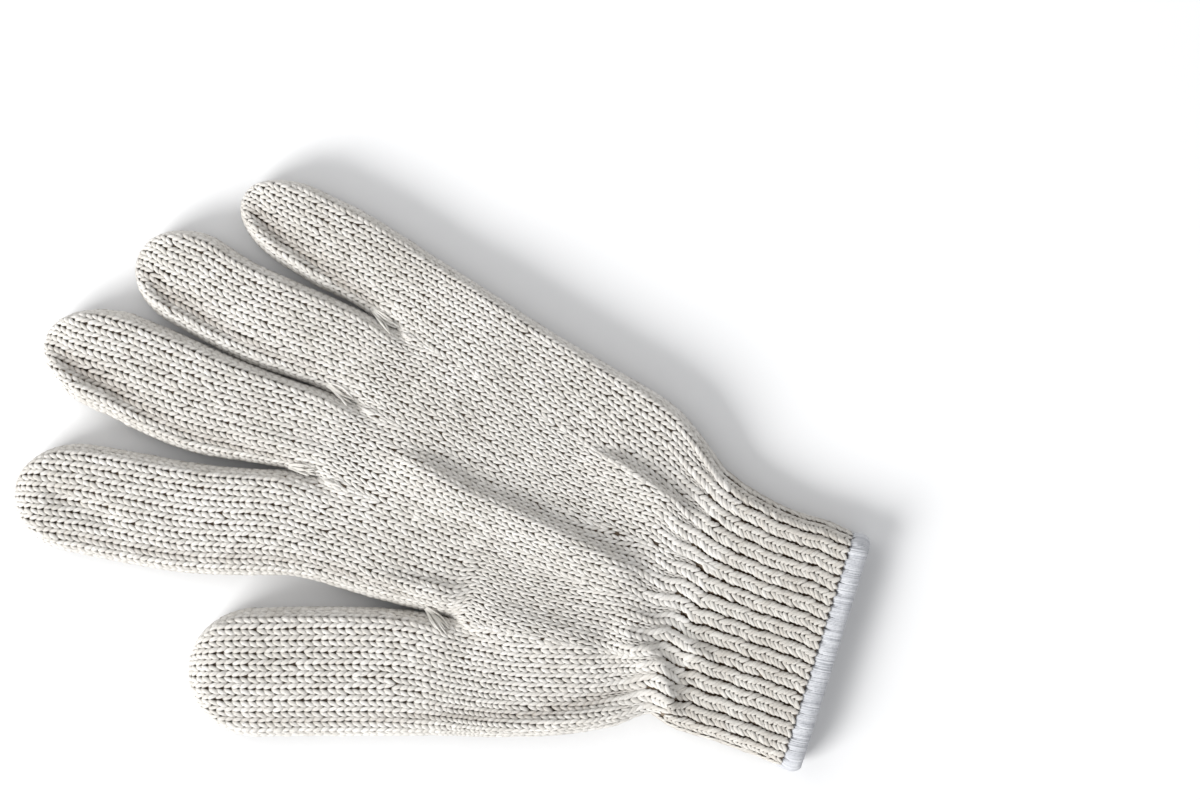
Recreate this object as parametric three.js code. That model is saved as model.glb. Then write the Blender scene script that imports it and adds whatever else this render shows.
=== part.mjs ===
// Seamless knitted cotton work glove, lying flat with its back up.
// Millimetres. +Y runs from the cuff to the fingertips, +Z up, the thumb lies on the -X side.

import * as THREE from 'three';
import { mergeVertices } from 'three/addons/utils/BufferGeometryUtils.js';

// Knitted walls
const fabricWall = 2.2;
const pieceGap = 0.3;

// Heights: back and palm side of the knitting meet along an edge line at this height
const edgeHeight = 5.5;
const fingerRise = 7.6;
const palmRise = 9.2;
const cuffRise = 7.4;

// Rounded edges, as a share of the width of a finger or strip
const backCorner = 0.42;
const undersideCorner = 0.24;
const tipDepth = 10;

// Crotches: the crease that each one leaves in the hand, and how far the web lies below it inside
const creaseLength = 20;
const webDepth = 3.4;
const webFlare = 9;

// Ribbed cuff and its overlocked edge
const ribsPerFace = 18;
const ribDepth = 0.9;
const cuffWall = 2.4;
const overlockLength = 4.2;
const overlockWidth = 3.9;
const overlockProud = 0.35;

// Yarn tufts at the crotches
const tuftRadius = 1.1;
const tuftEndRadius = 0.5;

// Facets
const backColumns = 8;
const undersideColumns = 4;
const tipRows = 5;
const rowLength = 6.2;
const innerRowLength = 9;
const columnsPerRib = 4;
const overlockSides = 8;
const overlockSteps = 72;
const tuftSides = 7;
const tuftSteps = 5;

// The hand from the finger bases to the wrist: one row for each station, with the places
// where it meets the edges and the seams between the strips below the fingers
const stations = [
  { name: 'fingers', indexSeam: [-34.6, 48], littleEdge: [74.9, 44] },
  { name: 'base', indexSeam: [-29.6, 33.7], middleSeam: [-0.2, 40.3], ringSeam: [24, 36.4],
    littleSeam: [48.2, 32], littleEdge: [71.8, 28.9] },
  { name: 'knuckles', thumbEdge: [-65.1, -5.3], indexSeam: [-27.6, 9], middleSeam: [-0.6, 9.9],
    ringSeam: [20.8, 10], littleSeam: [44.3, 9], littleEdge: [67.3, 8.6] },
  { name: 'thumb join', thumbEdge: [-58.4, -23.5], indexSeam: [-25.5, -12.2], middleSeam: [-1.7, -13],
    ringSeam: [17.2, -13], littleSeam: [39.8, -13], littleEdge: [62.4, -13] },
  { name: 'palm', thumbEdge: [-54.3, -36.2], indexSeam: [-22.4, -35.3], middleSeam: [-1.9, -35.5],
    ringSeam: [15.3, -35.5], littleSeam: [35, -35.5], littleEdge: [58.2, -35.5] },
  { name: 'heel', thumbEdge: [-46.6, -55.6], indexSeam: [-19, -56.5], middleSeam: [-1.7, -55.5],
    ringSeam: [14.5, -55], littleSeam: [31, -54.5], littleEdge: [53.8, -55.5] },
  { name: 'gathers', thumbEdge: [-38.9, -69.6], indexSeam: [-16.8, -69.2], middleSeam: [-0.9, -69],
    ringSeam: [14.6, -68.7], littleSeam: [29.6, -68.5], littleEdge: [46.6, -68.3] },
  { name: 'wrist', thumbEdge: [-31.8, -79], indexSeam: [-15.1, -78.208], middleSeam: [-0.1, -77.497],
    ringSeam: [14.8, -76.79], littleSeam: [28.5, -76.14], littleEdge: [42, -75.5] },
  { name: 'cuff', thumbEdge: [-32.9, -89], indexSeam: [-16, -88.5], middleSeam: [-1, -87.8],
    ringSeam: [13, -87.2], littleSeam: [26.8, -86.6], littleEdge: [39.3, -86] },
];
const stationNumber = (name) => stations.findIndex((station) => station.name === name);
const stationPitch = 24;
const wristStation = stationNumber('wrist');

// The station at which each line between two strips closes below its crotch
const closesAt = {
  thumbEdge: Infinity,
  indexSeam: stationNumber('thumb join'),
  middleSeam: stationNumber('base'),
  ringSeam: stationNumber('base'),
  littleSeam: stationNumber('base'),
  littleEdge: Infinity,
};

// Thumb and fingers: root is the station where each one joins, tip its end, tipLength the round
// end, and each section is a distance from the tip, a width and a sideways offset of its middle
const digits = [
  { name: 'thumb', root: 'thumb join', left: 'thumbEdge', right: 'indexSeam',
    tip: [-66.1, 51.3], tipLength: 20, rise: palmRise,
    sections: [[20, 36.6, -0.1], [35, 36.7, 0.3], [55, 36.4, 0.5]] },
  { name: 'index', root: 'base', left: 'indexSeam', right: 'middleSeam',
    tip: [-34.8, 116.5], tipLength: 20, rise: fingerRise,
    sections: [[20, 31, 0.4], [35, 31.5, -0.9], [50, 31.2, -1.9], [66, 30.4, -1.5]] },
  { name: 'middle', root: 'base', left: 'middleSeam', right: 'ringSeam',
    tip: [10.3, 123.4], tipLength: 23, rise: fingerRise,
    sections: [[23, 29.2, 0], [37, 30.2, -1.4], [51, 29.4, -2.2], [68, 26.2, -1.4]] },
  { name: 'ring', root: 'base', left: 'ringSeam', right: 'littleSeam',
    tip: [43, 106.2], tipLength: 18, rise: fingerRise,
    sections: [[18, 27.1, -0.4], [30, 26.4, -1.6], [44, 26.6, -1.5], [58, 25.4, -0.4]] },
  { name: 'little', root: 'base', left: 'littleSeam', right: 'littleEdge',
    tip: [68.4, 83.6], tipLength: 21, rise: fingerRise,
    sections: [[21, 23.7, 0.7], [31, 24.8, 0.7], [42, 23.8, 0.9]] },
];

// Folds and dents of the back: a path, how far it rises, its half width and the length over
// which it fades at both ends
const folds = [
  { name: 'long fold, valley', rise: -2.7, halfWidth: 3, fade: 14,
    path: [[15.1, 22.7], [12.7, -14.6], [10.9, -44.6], [7, -67.6]] },
  { name: 'long fold, crest', rise: 1.7, halfWidth: 3.6, fade: 16,
    path: [[10.6, 17.8], [8.2, -9.7], [5.9, -30.7], [2.8, -50], [1.5, -62]] },
  { name: 'crease above the cuff', rise: -2.3, halfWidth: 2.4, fade: 9,
    path: [[35.8, -42.6], [34.1, -54], [32.1, -62.1], [30, -72]] },
  { name: 'ridge beside the crease', rise: 1.3, halfWidth: 2.8, fade: 9,
    path: [[31, -44], [29.2, -55], [27.6, -63], [26, -72]] },
  { name: 'index side valley', rise: -1.3, halfWidth: 3.8, fade: 16,
    path: [[-19.2, 24.7], [-15.9, -3.1], [-14.5, -14.3], [-12.4, -45.7], [-11.9, -60]] },
  { name: 'gather at the wrist', rise: -1.9, halfWidth: 2.2, fade: 7,
    path: [[-11.9, -57], [-8.6, -67], [-7.4, -80]] },
  { name: 'thumb side valley', rise: -1.7, halfWidth: 4, fade: 12,
    path: [[-45, -36.8], [-36.9, -53.9], [-31.2, -62], [-23, -71]] },
  { name: 'hump at the wrist', rise: 1.9, halfWidth: 4.6, fade: 6,
    path: [[-30, -69], [-23, -75], [-17, -80]] },
  { name: 'rolled side of the little finger', rise: -1.9, halfWidth: 2, fade: 5,
    path: [[67.2, 81], [60.6, 68.3], [56.5, 55], [52.1, 41.7], [48.9, 27]] },
  { name: 'rolled side of the ring finger', rise: -1.7, halfWidth: 2.1, fade: 7,
    path: [[35.5, 99], [31.5, 91.3], [27.6, 81]] },
  { name: 'rolled side of the middle finger', rise: -1.9, halfWidth: 2.1, fade: 5,
    path: [[7.8, 119], [7.3, 113], [3, 101.9], [-0.3, 89], [-1.9, 73], [-0.6, 55], [0.6, 36]] },
  { name: 'dent in the index tip', rise: -1.2, halfWidth: 4, fade: 9,
    path: [[-26.2, 110], [-26.9, 97.5], [-29, 84]] },
];

// The cuff: its two edges at each section, and the height of its back over the edge line
const cuffSections = [
  { left: [-31.8, -79], right: [42, -75.5], rise: cuffRise },
  { left: [-33.4, -86], right: [39.7, -83], rise: cuffRise },
  { left: [-32.9, -99.5], right: [37.7, -96.5], rise: cuffRise },
  { left: [-32.9, -112], right: [38.2, -108.5], rise: cuffRise },
  { left: [-33.2, -118.95], right: [37.6, -115.7], rise: cuffRise },
];
const cuffCorner = 0.11;

// Tufts: the two ends of each one, over the crotch that it was fastened at
const tufts = [
  { name: 'crotch_tuft_thumb', from: [-25.3, -9.6], to: [-29.2, -15.4] },
  { name: 'crotch_tuft_index', from: [-0.5, 42], to: [1.2, 35.6] },
  { name: 'crotch_tuft_middle', from: [24.8, 38.4], to: [23.2, 31.6] },
  { name: 'crotch_tuft_ring', from: [49.2, 34.2], to: [46.8, 27.6] },
];

// Colours of the finishes
const creamCotton = 0xd9d3c6;
const paleCotton = 0xe6e1d6;
const blueWhiteThread = 0xccd4dc;

const clamp01 = (value) => Math.min(1, Math.max(0, value));
const smooth = (value) => clamp01(value) ** 2 * (3 - 2 * clamp01(value));
const mix = (a, b, share) => a * (1 - share) + b * share;
const mixPoint = (a, b, share) => [mix(a[0], b[0], share), mix(a[1], b[1], share)];
const distance = (a, b) => Math.hypot(b[0] - a[0], b[1] - a[1]);

// A quarter round from 0 at the edge to 1 where the flat begins
const quarterRound = (share) => (share >= 1 ? 1 : Math.sqrt(1 - (1 - Math.max(share, 0)) ** 2));

// Each edge or seam is a smooth curve through its places at the stations
function lineCurve(column) {
  const first = stations.findIndex((station) => station[column]);
  const points = stations.slice(first).map((station) => new THREE.Vector3(...station[column], 0));
  return { first, last: stations.length - 1, curve: new THREE.CatmullRomCurve3(points, false, 'centripetal') };
}
const lines = {};
for (const column of Object.keys(closesAt)) {
  lines[column] = lineCurve(column);
}
function linePoint(column, station) {
  const { first, last, curve } = lines[column];
  if (Number.isInteger(station)) {
    return stations[station][column];
  }
  const point = curve.getPoint((station - first) / (last - first));
  return [point.x, point.y];
}

// Height that the folds add at a place on the back
function foldHeight(x, y) {
  let height = 0;
  for (const fold of folds) {
    const lengths = fold.path.slice(1).map((point, k) => distance(fold.path[k], point));
    const total = lengths.reduce((sum, length) => sum + length, 0);
    let walked = 0;
    let nearest = Infinity;
    let along = 0;
    lengths.forEach((length, k) => {
      const [ax, ay] = fold.path[k];
      const [bx, by] = fold.path[k + 1];
      const share = clamp01(((x - ax) * (bx - ax) + (y - ay) * (by - ay)) / length ** 2);
      const away = Math.hypot(x - mix(ax, bx, share), y - mix(ay, by, share));
      if (away < nearest) {
        nearest = away;
        along = walked + share * length;
      }
      walked += length;
    });
    const taper = smooth(Math.min(along, total - along) / fold.fade);
    height += fold.rise * taper * Math.exp(-((nearest / fold.halfWidth) ** 2));
  }
  return height;
}

// One face of a cross-section, from its left end to its right end in equal steps along its girth.
// An end is open at 1, where it comes down to the edge line, and closed at 0.
function facePoints(row, face, columns) {
  const width = distance(row.left, row.right);
  const cornerShare = row.corner ?? (face === 'back' ? backCorner : undersideCorner);
  const corner = Math.max(width * cornerShare, 1e-6);
  const samples = 40;
  const outline = [];
  for (let k = 0; k <= samples; k += 1) {
    const share = k === samples ? 1 : 0.5 - 0.5 * Math.cos((Math.PI * k) / samples);
    const roundLeft = 1 - row.openLeft * (1 - quarterRound((share * width) / corner));
    const roundRight = 1 - row.openRight * (1 - quarterRound(((1 - share) * width) / corner));
    const round = roundLeft * roundRight * row.plump;
    const [x, y] = mixPoint(row.left, row.right, share);
    let z = edgeHeight - (edgeHeight - row.floor) * round;
    if (face === 'back') {
      z = edgeHeight + (row.rise + (row.folded ? foldHeight(x, y) : 0)) * round;
    }
    outline.push(new THREE.Vector3(x, y, z));
  }
  const girth = [0];
  for (let k = 1; k <= samples; k += 1) {
    girth.push(girth[k - 1] + outline[k].distanceTo(outline[k - 1]));
  }
  const points = [];
  let k = 0;
  for (let column = 0; column <= columns; column += 1) {
    const reach = (girth[samples] * column) / columns;
    while (k < samples - 1 && girth[k + 1] < reach) {
      k += 1;
    }
    const step = girth[k + 1] - girth[k];
    points.push(outline[k].clone().lerp(outline[k + 1], step > 0 ? clamp01((reach - girth[k]) / step) : 0));
  }
  points[0].copy(outline[0]);
  points[columns].copy(outline[samples]);
  return points;
}

// Rows of a strip from its root station down to the wrist. The inner surface lies one wall in.
function handRow(digit, station, inset) {
  const shift = (inset > 0 ? webDepth : 0) / stationPitch;
  const side = (column) => {
    const close = closesAt[column] + shift;
    const beyond = (station - close) * stationPitch;
    return {
      open: close === Infinity ? 1 : (1 - clamp01(beyond / creaseLength)) ** 2,
      inset: close === Infinity ? inset : inset * clamp01(-beyond / webFlare),
      point: linePoint(column, station),
    };
  };
  const left = side(digit.left);
  const right = side(digit.right);
  const width = distance(left.point, right.point);
  const palmShare = smooth((station - stationNumber('base')) / 1.2);
  const cuffShare = smooth((station - stationNumber('palm')) / (wristStation - stationNumber('palm')));
  const rise = mix(mix(digit.rise, palmRise, palmShare), cuffRise, cuffShare);
  return {
    left: mixPoint(left.point, right.point, left.inset / width),
    right: mixPoint(left.point, right.point, 1 - right.inset / width),
    openLeft: left.open,
    openRight: right.open,
    rise: rise - inset,
    floor: inset,
    plump: 1,
    folded: true,
  };
}

// Rows of a digit from its tip to its root
function digitRow(digit, fromTip, width, offset, inset) {
  const rootLeft = linePoint(digit.left, stationNumber(digit.root));
  const rootRight = linePoint(digit.right, stationNumber(digit.root));
  const root = mixPoint(rootLeft, rootRight, 0.5);
  const reach = distance(root, digit.tip);
  const axis = [(digit.tip[0] - root[0]) / reach, (digit.tip[1] - root[1]) / reach];
  const chord = distance(rootLeft, rootRight);
  const blend = smooth((fromTip - reach * 0.6) / (reach * 0.4));
  let across = [
    mix(axis[1], (rootRight[0] - rootLeft[0]) / chord, blend),
    mix(-axis[0], (rootRight[1] - rootLeft[1]) / chord, blend),
  ];
  const unit = Math.hypot(...across);
  across = [across[0] / unit, across[1] / unit];
  const middle = [
    digit.tip[0] - axis[0] * fromTip + axis[1] * offset,
    digit.tip[1] - axis[1] * fromTip - axis[0] * offset,
  ];
  const round = quarterRound((fromTip - inset) / (digit.tipLength - inset));
  const half = (width / 2 - inset) * round;
  return {
    left: [middle[0] - across[0] * half, middle[1] - across[1] * half],
    right: [middle[0] + across[0] * half, middle[1] + across[1] * half],
    openLeft: 1,
    openRight: 1,
    rise: digit.rise - inset,
    floor: inset,
    plump: quarterRound((fromTip - inset) / tipDepth),
    folded: true,
  };
}

function stripRows(digit, inset, pitch) {
  const rows = [];
  const rootStation = stationNumber(digit.root);
  const rootLeft = linePoint(digit.left, rootStation);
  const rootRight = linePoint(digit.right, rootStation);
  const reach = distance(mixPoint(rootLeft, rootRight, 0.5), digit.tip);
  const [, tipWidth, tipOffset] = digit.sections[0];
  for (let k = 0; k < tipRows; k += 1) {
    const share = 1 - Math.cos((Math.PI / 2) * (k / tipRows));
    const fromTip = inset + share * (digit.tipLength - inset);
    rows.push(digitRow(digit, fromTip, tipWidth, tipOffset, inset));
  }
  const shaft = [...digit.sections, [reach, distance(rootLeft, rootRight), 0]];
  const shaftCurve = new THREE.CatmullRomCurve3(
    shaft.map((section) => new THREE.Vector3(...section)), false, 'centripetal');
  for (let k = 0; k < shaft.length - 1; k += 1) {
    const steps = Math.max(1, Math.round((shaft[k + 1][0] - shaft[k][0]) / pitch));
    for (let step = 0; step < steps; step += 1) {
      const section = shaftCurve.getPoint((k + step / steps) / (shaft.length - 1));
      rows.push(digitRow(digit, section.x, section.y, section.z, inset));
    }
  }
  for (let station = rootStation; station < wristStation; station += 1) {
    const length = distance(linePoint('indexSeam', station), linePoint('indexSeam', station + 1));
    const steps = Math.max(2, Math.round(length / pitch));
    for (let step = 0; step < steps; step += 1) {
      rows.push(handRow(digit, station + step / steps, inset));
      if (step === 0 && inset > 0 && Object.values(closesAt).includes(station)) {
        rows.push(handRow(digit, station + webDepth / stationPitch, inset));
      }
    }
  }
  rows.push(handRow(digit, wristStation, inset));
  return rows;
}

// Triangles between two rows of points, turned over for surfaces that face the other way
function joinRows(triangles, upper, lower, turned) {
  for (let k = 0; k < upper.length - 1; k += 1) {
    const faces = [
      [upper[k], lower[k], lower[k + 1]],
      [upper[k], lower[k + 1], upper[k + 1]],
    ];
    for (const [a, b, c] of faces) {
      const flat = a.distanceTo(b) < 1e-6 || b.distanceTo(c) < 1e-6 || c.distanceTo(a) < 1e-6;
      if (!flat) {
        triangles.push(...(turned ? [a, c, b] : [a, b, c]));
      }
    }
  }
}

function solidMesh(name, triangles, colour, roughness) {
  const positions = new Float32Array(triangles.length * 3);
  triangles.forEach((point, k) => point.toArray(positions, k * 3));
  const loose = new THREE.BufferGeometry();
  loose.setAttribute('position', new THREE.BufferAttribute(positions, 3));
  const geometry = mergeVertices(loose, 1e-3);
  geometry.computeVertexNormals();
  const finish = new THREE.MeshStandardMaterial({ color: colour, roughness, metalness: 0 });
  const mesh = new THREE.Mesh(geometry, finish);
  mesh.name = name;
  return mesh;
}

// The knitted hand: palm, four fingers and thumb in one continuous wall, open at the wrist
function knittedHand() {
  const triangles = [];
  const faceColumns = { back: backColumns, underside: undersideColumns };
  for (const digit of digits) {
    for (const [face, columns] of Object.entries(faceColumns)) {
      const turned = face === 'underside';
      const outer = stripRows(digit, 0, rowLength).map((row) => facePoints(row, face, columns));
      const inner = stripRows(digit, fabricWall, innerRowLength).map((row) => facePoints(row, face, columns));
      for (let k = 1; k < outer.length; k += 1) {
        joinRows(triangles, outer[k - 1], outer[k], turned);
      }
      for (let k = 1; k < inner.length; k += 1) {
        joinRows(triangles, inner[k - 1], inner[k], !turned);
      }
      joinRows(triangles, outer[outer.length - 1], inner[inner.length - 1], turned);
    }
  }
  return solidMesh('knit_hand', triangles, creamCotton, 0.95);
}

// A closed loop of points round the cuff, moved inwards by a depth for each point
function cuffLoop(section, steps, depthAt, lengthwise) {
  const row = { ...section, openLeft: 1, openRight: 1, floor: 0, plump: 1, corner: cuffCorner };
  const back = facePoints(row, 'back', steps / 2);
  const underside = facePoints(row, 'underside', steps / 2);
  const loop = [...back, ...underside.slice(1, -1).reverse()];
  const width = distance(section.left, section.right);
  const across = new THREE.Vector3(
    (section.right[0] - section.left[0]) / width, (section.right[1] - section.left[1]) / width, 0);
  const along = new THREE.Vector3(-across.y, across.x, 0);
  return loop.map((point, k) => {
    const ahead = loop[(k + 1) % loop.length];
    const behind = loop[(k + loop.length - 1) % loop.length];
    const inward = new THREE.Vector3().crossVectors(along, ahead.clone().sub(behind)).normalize();
    return point.clone().addScaledVector(inward, depthAt(k)).addScaledVector(along, lengthwise);
  });
}

// The ribbed cuff: a tube of plump ribs with valleys between them, open at both ends
function ribbedCuff() {
  const steps = 2 * ribsPerFace * columnsPerRib;
  const valley = (k) => ribDepth * (0.5 + 0.5 * Math.cos((2 * Math.PI * k) / columnsPerRib));
  const closed = (loop) => [...loop, loop[0]];
  const outer = cuffSections.map((section, k) => closed(cuffLoop(section, steps, valley, k === 0 ? -pieceGap : 0)));
  const innerSections = [0, 2, cuffSections.length - 1];
  const inner = innerSections.map((k) => (
    closed(cuffLoop(cuffSections[k], steps, () => cuffWall, k === 0 ? -pieceGap : 0))));
  const triangles = [];
  for (let k = 1; k < outer.length; k += 1) {
    joinRows(triangles, outer[k - 1], outer[k], false);
  }
  for (let k = 1; k < inner.length; k += 1) {
    joinRows(triangles, inner[k - 1], inner[k], true);
  }
  joinRows(triangles, inner[0], outer[0], false);
  joinRows(triangles, outer[outer.length - 1], inner[inner.length - 1], false);
  return solidMesh('rib_cuff', triangles, creamCotton, 0.95);
}

// The overlocked edge: a thread-wrapped ring that closes the end of the cuff
function overlockedEdge() {
  const end = cuffSections[cuffSections.length - 1];
  const triangles = [];
  const rings = [];
  for (let side = 0; side <= overlockSides; side += 1) {
    const angle = (2 * Math.PI * side) / overlockSides + Math.PI / overlockSides;
    const depth = overlockWidth / 2 - overlockProud - (overlockWidth / 2) * Math.cos(angle);
    const rim = Math.cos(Math.PI / overlockSides);
    const lengthwise = -pieceGap - overlockLength / 2 - ((overlockLength / 2) * Math.sin(angle)) / rim;
    const loop = cuffLoop(end, overlockSteps, () => depth, lengthwise);
    loop.forEach((point) => point.setZ(Math.max(point.z, 0)));
    rings.push([...loop, loop[0]]);
  }
  for (let k = 1; k < rings.length; k += 1) {
    joinRows(triangles, rings[k - 1], rings[k], false);
  }
  return solidMesh('cuff_overlock', triangles, blueWhiteThread, 0.9);
}

// A tuft: a short tapered bundle of yarn ends lying in the crease below its crotch
function yarnTuft(tuft, hand) {
  const raycaster = new THREE.Raycaster();
  const down = new THREE.Vector3(0, 0, -1);
  const clear = pieceGap + tuftRadius;
  const surfaceHeight = (x, y) => {
    raycaster.set(new THREE.Vector3(x, y, 100), down);
    const hits = raycaster.intersectObject(hand);
    return hits.length ? hits[0].point.z : 0;
  };
  const direction = new THREE.Vector3(tuft.to[0] - tuft.from[0], tuft.to[1] - tuft.from[1], 0).normalize();
  const across = new THREE.Vector3(-direction.y, direction.x, 0);
  const rings = [];
  for (let step = 0; step <= tuftSteps; step += 1) {
    const share = step / tuftSteps;
    const [x, y] = mixPoint(tuft.from, tuft.to, share);
    const nearby = [-tuftRadius, 0, tuftRadius].map((aside) => (
      surfaceHeight(x + across.x * aside, y + across.y * aside)));
    const radius = mix(tuftEndRadius, tuftRadius, Math.sin(Math.PI * Math.min(1, 0.25 + share * 0.6)));
    const centre = new THREE.Vector3(x, y, Math.max(...nearby) + clear);
    const ring = [];
    for (let side = 0; side <= tuftSides; side += 1) {
      const angle = (2 * Math.PI * (side % tuftSides)) / tuftSides;
      const point = centre.clone().addScaledVector(across, radius * Math.cos(angle));
      ring.push(point.setZ(point.z + radius * Math.sin(angle)));
    }
    rings.push({ centre, ring });
  }
  const triangles = [];
  const last = rings[tuftSteps];
  joinRows(triangles, rings[0].ring.map(() => rings[0].centre), rings[0].ring, true);
  for (let step = 1; step <= tuftSteps; step += 1) {
    joinRows(triangles, rings[step - 1].ring, rings[step].ring, true);
  }
  joinRows(triangles, last.ring, last.ring.map(() => last.centre), true);
  return solidMesh(tuft.name, triangles, paleCotton, 0.95);
}

const group = new THREE.Group();
const hand = knittedHand();
group.add(hand, ribbedCuff(), overlockedEdge());
for (const tuft of tufts) {
  group.add(yarnTuft(tuft, hand));
}

export default group;
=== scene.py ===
import math
import bpy
import numpy as np
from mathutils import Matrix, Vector
from mathutils.bvhtree import BVHTree


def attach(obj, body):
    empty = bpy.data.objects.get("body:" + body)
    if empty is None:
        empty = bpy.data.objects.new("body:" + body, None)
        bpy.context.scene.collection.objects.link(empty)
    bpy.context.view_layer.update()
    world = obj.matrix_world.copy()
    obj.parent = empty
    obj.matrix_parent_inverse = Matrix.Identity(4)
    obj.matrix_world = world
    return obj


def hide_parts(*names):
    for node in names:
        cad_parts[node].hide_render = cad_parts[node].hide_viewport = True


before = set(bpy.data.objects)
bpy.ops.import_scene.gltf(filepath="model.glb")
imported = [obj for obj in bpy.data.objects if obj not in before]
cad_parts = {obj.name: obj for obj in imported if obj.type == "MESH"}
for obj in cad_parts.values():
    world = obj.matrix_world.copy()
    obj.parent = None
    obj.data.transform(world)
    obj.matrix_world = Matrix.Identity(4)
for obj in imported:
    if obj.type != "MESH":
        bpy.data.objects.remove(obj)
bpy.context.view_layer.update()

# Camera: straight above the glove, turned so that the fingers point to the upper left of the
# picture and the cuff to the lower right. The picture is 348 mm wide at the height of the back.
mm = 0.001
camera_lens = bpy.data.cameras.new("camera")
camera_lens.lens = 85
camera_lens.sensor_width = 36
camera = bpy.data.objects.new("camera", camera_lens)
camera.location = (48.7 * mm, -33.9 * mm, 830 * mm)
camera.rotation_euler = (0, 0, math.radians(-70))
bpy.context.scene.collection.objects.link(camera)
bpy.context.scene.camera = camera

# Knitted hand: palm, four fingers and thumb, knitted in one on a seven-gauge flat glove machine
# from a thick cream cotton yarn. Each finger is a tube of plain stitches whose wales run on
# through the palm to the wrist, and the tubes join at the crotches.
edge_height = 5.5  # of both side edges above the table, in millimetres like all that follows
finger_rise, palm_rise, cuff_rise = 7.6, 9.2, 7.4  # of the back above the edges
corner_share = {"back": (0.30, 0.10), "underside": (0.24, 0.24)}  # of the width, left and right
cuff_corner = 5.6
wall = 2.2  # from the middle of the stitches to the hollow
both_faces = ("back", "underside")
tip_depth = 10  # a fingertip rounds off in height over this length
crease_length = 8.5  # below a crotch the groove between two fingers fades over this length
web_flare = 9  # this far above a crotch the wall lies wholly inside the stitches
gather_length = 18  # below a crotch wales run into its crease over this length
station_pitch = 24

# Edges and seams of the hand at nine stations from the fingers to the cuff, in millimetres:
# first station of the line, then its places
base, thumb_join, palm_station, wrist = 1, 3, 4, 7
seam_places = {
    "thumb edge": (2, [(-65.1, -5.3), (-58.4, -23.5), (-54.3, -36.2), (-46.6, -55.6), (-38.9, -69.6),
                       (-31.8, -79), (-32.9, -89)]),
    "index seam": (0, [(-34.6, 48), (-29.6, 33.7), (-27.6, 9), (-25.5, -12.2), (-22.4, -35.3),
                       (-19, -56.5), (-16.8, -69.2), (-15.1, -78.2), (-16, -88.5)]),
    "middle seam": (1, [(-0.2, 40.3), (-0.6, 9.9), (-1.7, -13), (-1.9, -35.5), (-1.7, -55.5),
                        (-0.9, -69), (-0.1, -77.5), (-1, -87.8)]),
    "ring seam": (1, [(24, 36.4), (20.8, 10), (17.2, -13), (15.3, -35.5), (14.5, -55),
                      (14.6, -68.7), (14.8, -76.8), (13, -87.2)]),
    "little seam": (1, [(48.2, 32), (44.3, 9), (39.8, -13), (35, -35.5), (31, -54.5),
                        (29.6, -68.5), (28.5, -76.1), (26.8, -86.6)]),
    "little edge": (0, [(74.9, 44), (71.8, 28.9), (67.3, 8.6), (62.4, -13), (58.2, -35.5),
                        (53.8, -55.5), (46.6, -68.3), (42, -75.5), (39.3, -86)]),
}
seam_closes = {"index seam": thumb_join, "middle seam": base, "ring seam": base, "little seam": base}

# Thumb and fingers, in the order of the seams beside them: the tip, the length of its round end, and
# sections of distance from the tip, width and sideways offset. Of the wales of a face, drops run
# into the crotches on the left and right; course is the height of a stitch. Fullness is for the
# yarn, dots for the painted shade at its ends, and tilt lifts the right half. The edge wales are
# rolled over, and the crease beside them has a distance from the tip, one from the left edge and a depth.
usual = dict(root=base, rise=finger_rise, wales=12, fullness=1.0, dots=1.0, tilt=0.4)
digits = {
    "thumb": dict(
        root=thumb_join, tip=(-66.1, 51.3), end=20, rise=palm_rise,
        sections=[(20, 36.6, -0.1), (35, 36.7, 0.3), (55, 36.4, 0.5)],
        wales=14, drops=(0, 1), course=2.3, fullness=1.05, dots=0.95, tilt=0,
        crease=[(4, 3.0, 0), (14, 4.2, 1.1), (60, 4.2, 1.3), (80, 5.5, 1.6), (99, 6.7, 1.9), (116, 9, 1.9),
                (127, 12, 1.0), (134, 13, 0)]),
    "index": dict(
        tip=(-34.8, 116.5), end=20,
        sections=[(20, 31, 0.4), (35, 31.5, -0.9), (50, 31.2, -1.9), (66, 30.4, -1.5)],
        drops=(1, 1), course=2.07, fullness=1.03, dots=0.95, tilt=0.1,
        crease=[(3, 3.0, 0), (12, 4.4, 1.0), (60, 4.3, 1.1), (110, 4.0, 1.0), (120, 3, 0)]),
    "middle": dict(
        tip=(10.3, 123.4), end=23,
        sections=[(23, 29.2, 0), (37, 30.2, -1.4), (51, 29.4, -2.2), (68, 26.2, -1.4)],
        drops=(2, 2), course=2.0,
        crease=[(2, 5.5, 0.4), (8, 6.6, 2.6), (20, 6.8, 2.7), (32, 5.4, 1.7), (50, 4.0, 1.4),
                (70, 2.8, 1.2), (84, 2.4, 0)]),
    "ring": dict(
        tip=(43, 106.2), end=18,
        sections=[(18, 27.1, -0.4), (30, 26.4, -1.6), (44, 26.6, -1.5), (58, 25.4, -0.4)],
        drops=(1, 2), course=1.97,
        crease=[(2, 4, 0.3), (8, 4.8, 2.4), (26, 4.7, 2.3), (40, 4.5, 1.5), (58, 4.1, 1.3), (70, 3.4, 0)]),
    "little": dict(
        tip=(68.4, 83.6), end=21,
        sections=[(21, 23.7, 0.7), (31, 24.8, 0.7), (42, 23.8, 0.9)],
        drops=(1, 0), course=1.97,
        crease=[(2, 4.0, 0.4), (8, 5.0, 2.5), (15, 5.4, 2.4), (22, 5.0, 2.2), (30, 4.3, 2.0),
                (38, 2.6, 1.9), (46, 2.2, 1.6), (54, 2.2, 0)]),
}
seam_names = list(seam_places)
digits = {name: dict(usual, left=left, right=right, **digit)
          for (name, digit), left, right in zip(digits.items(), seam_names, seam_names[1:])}

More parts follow.
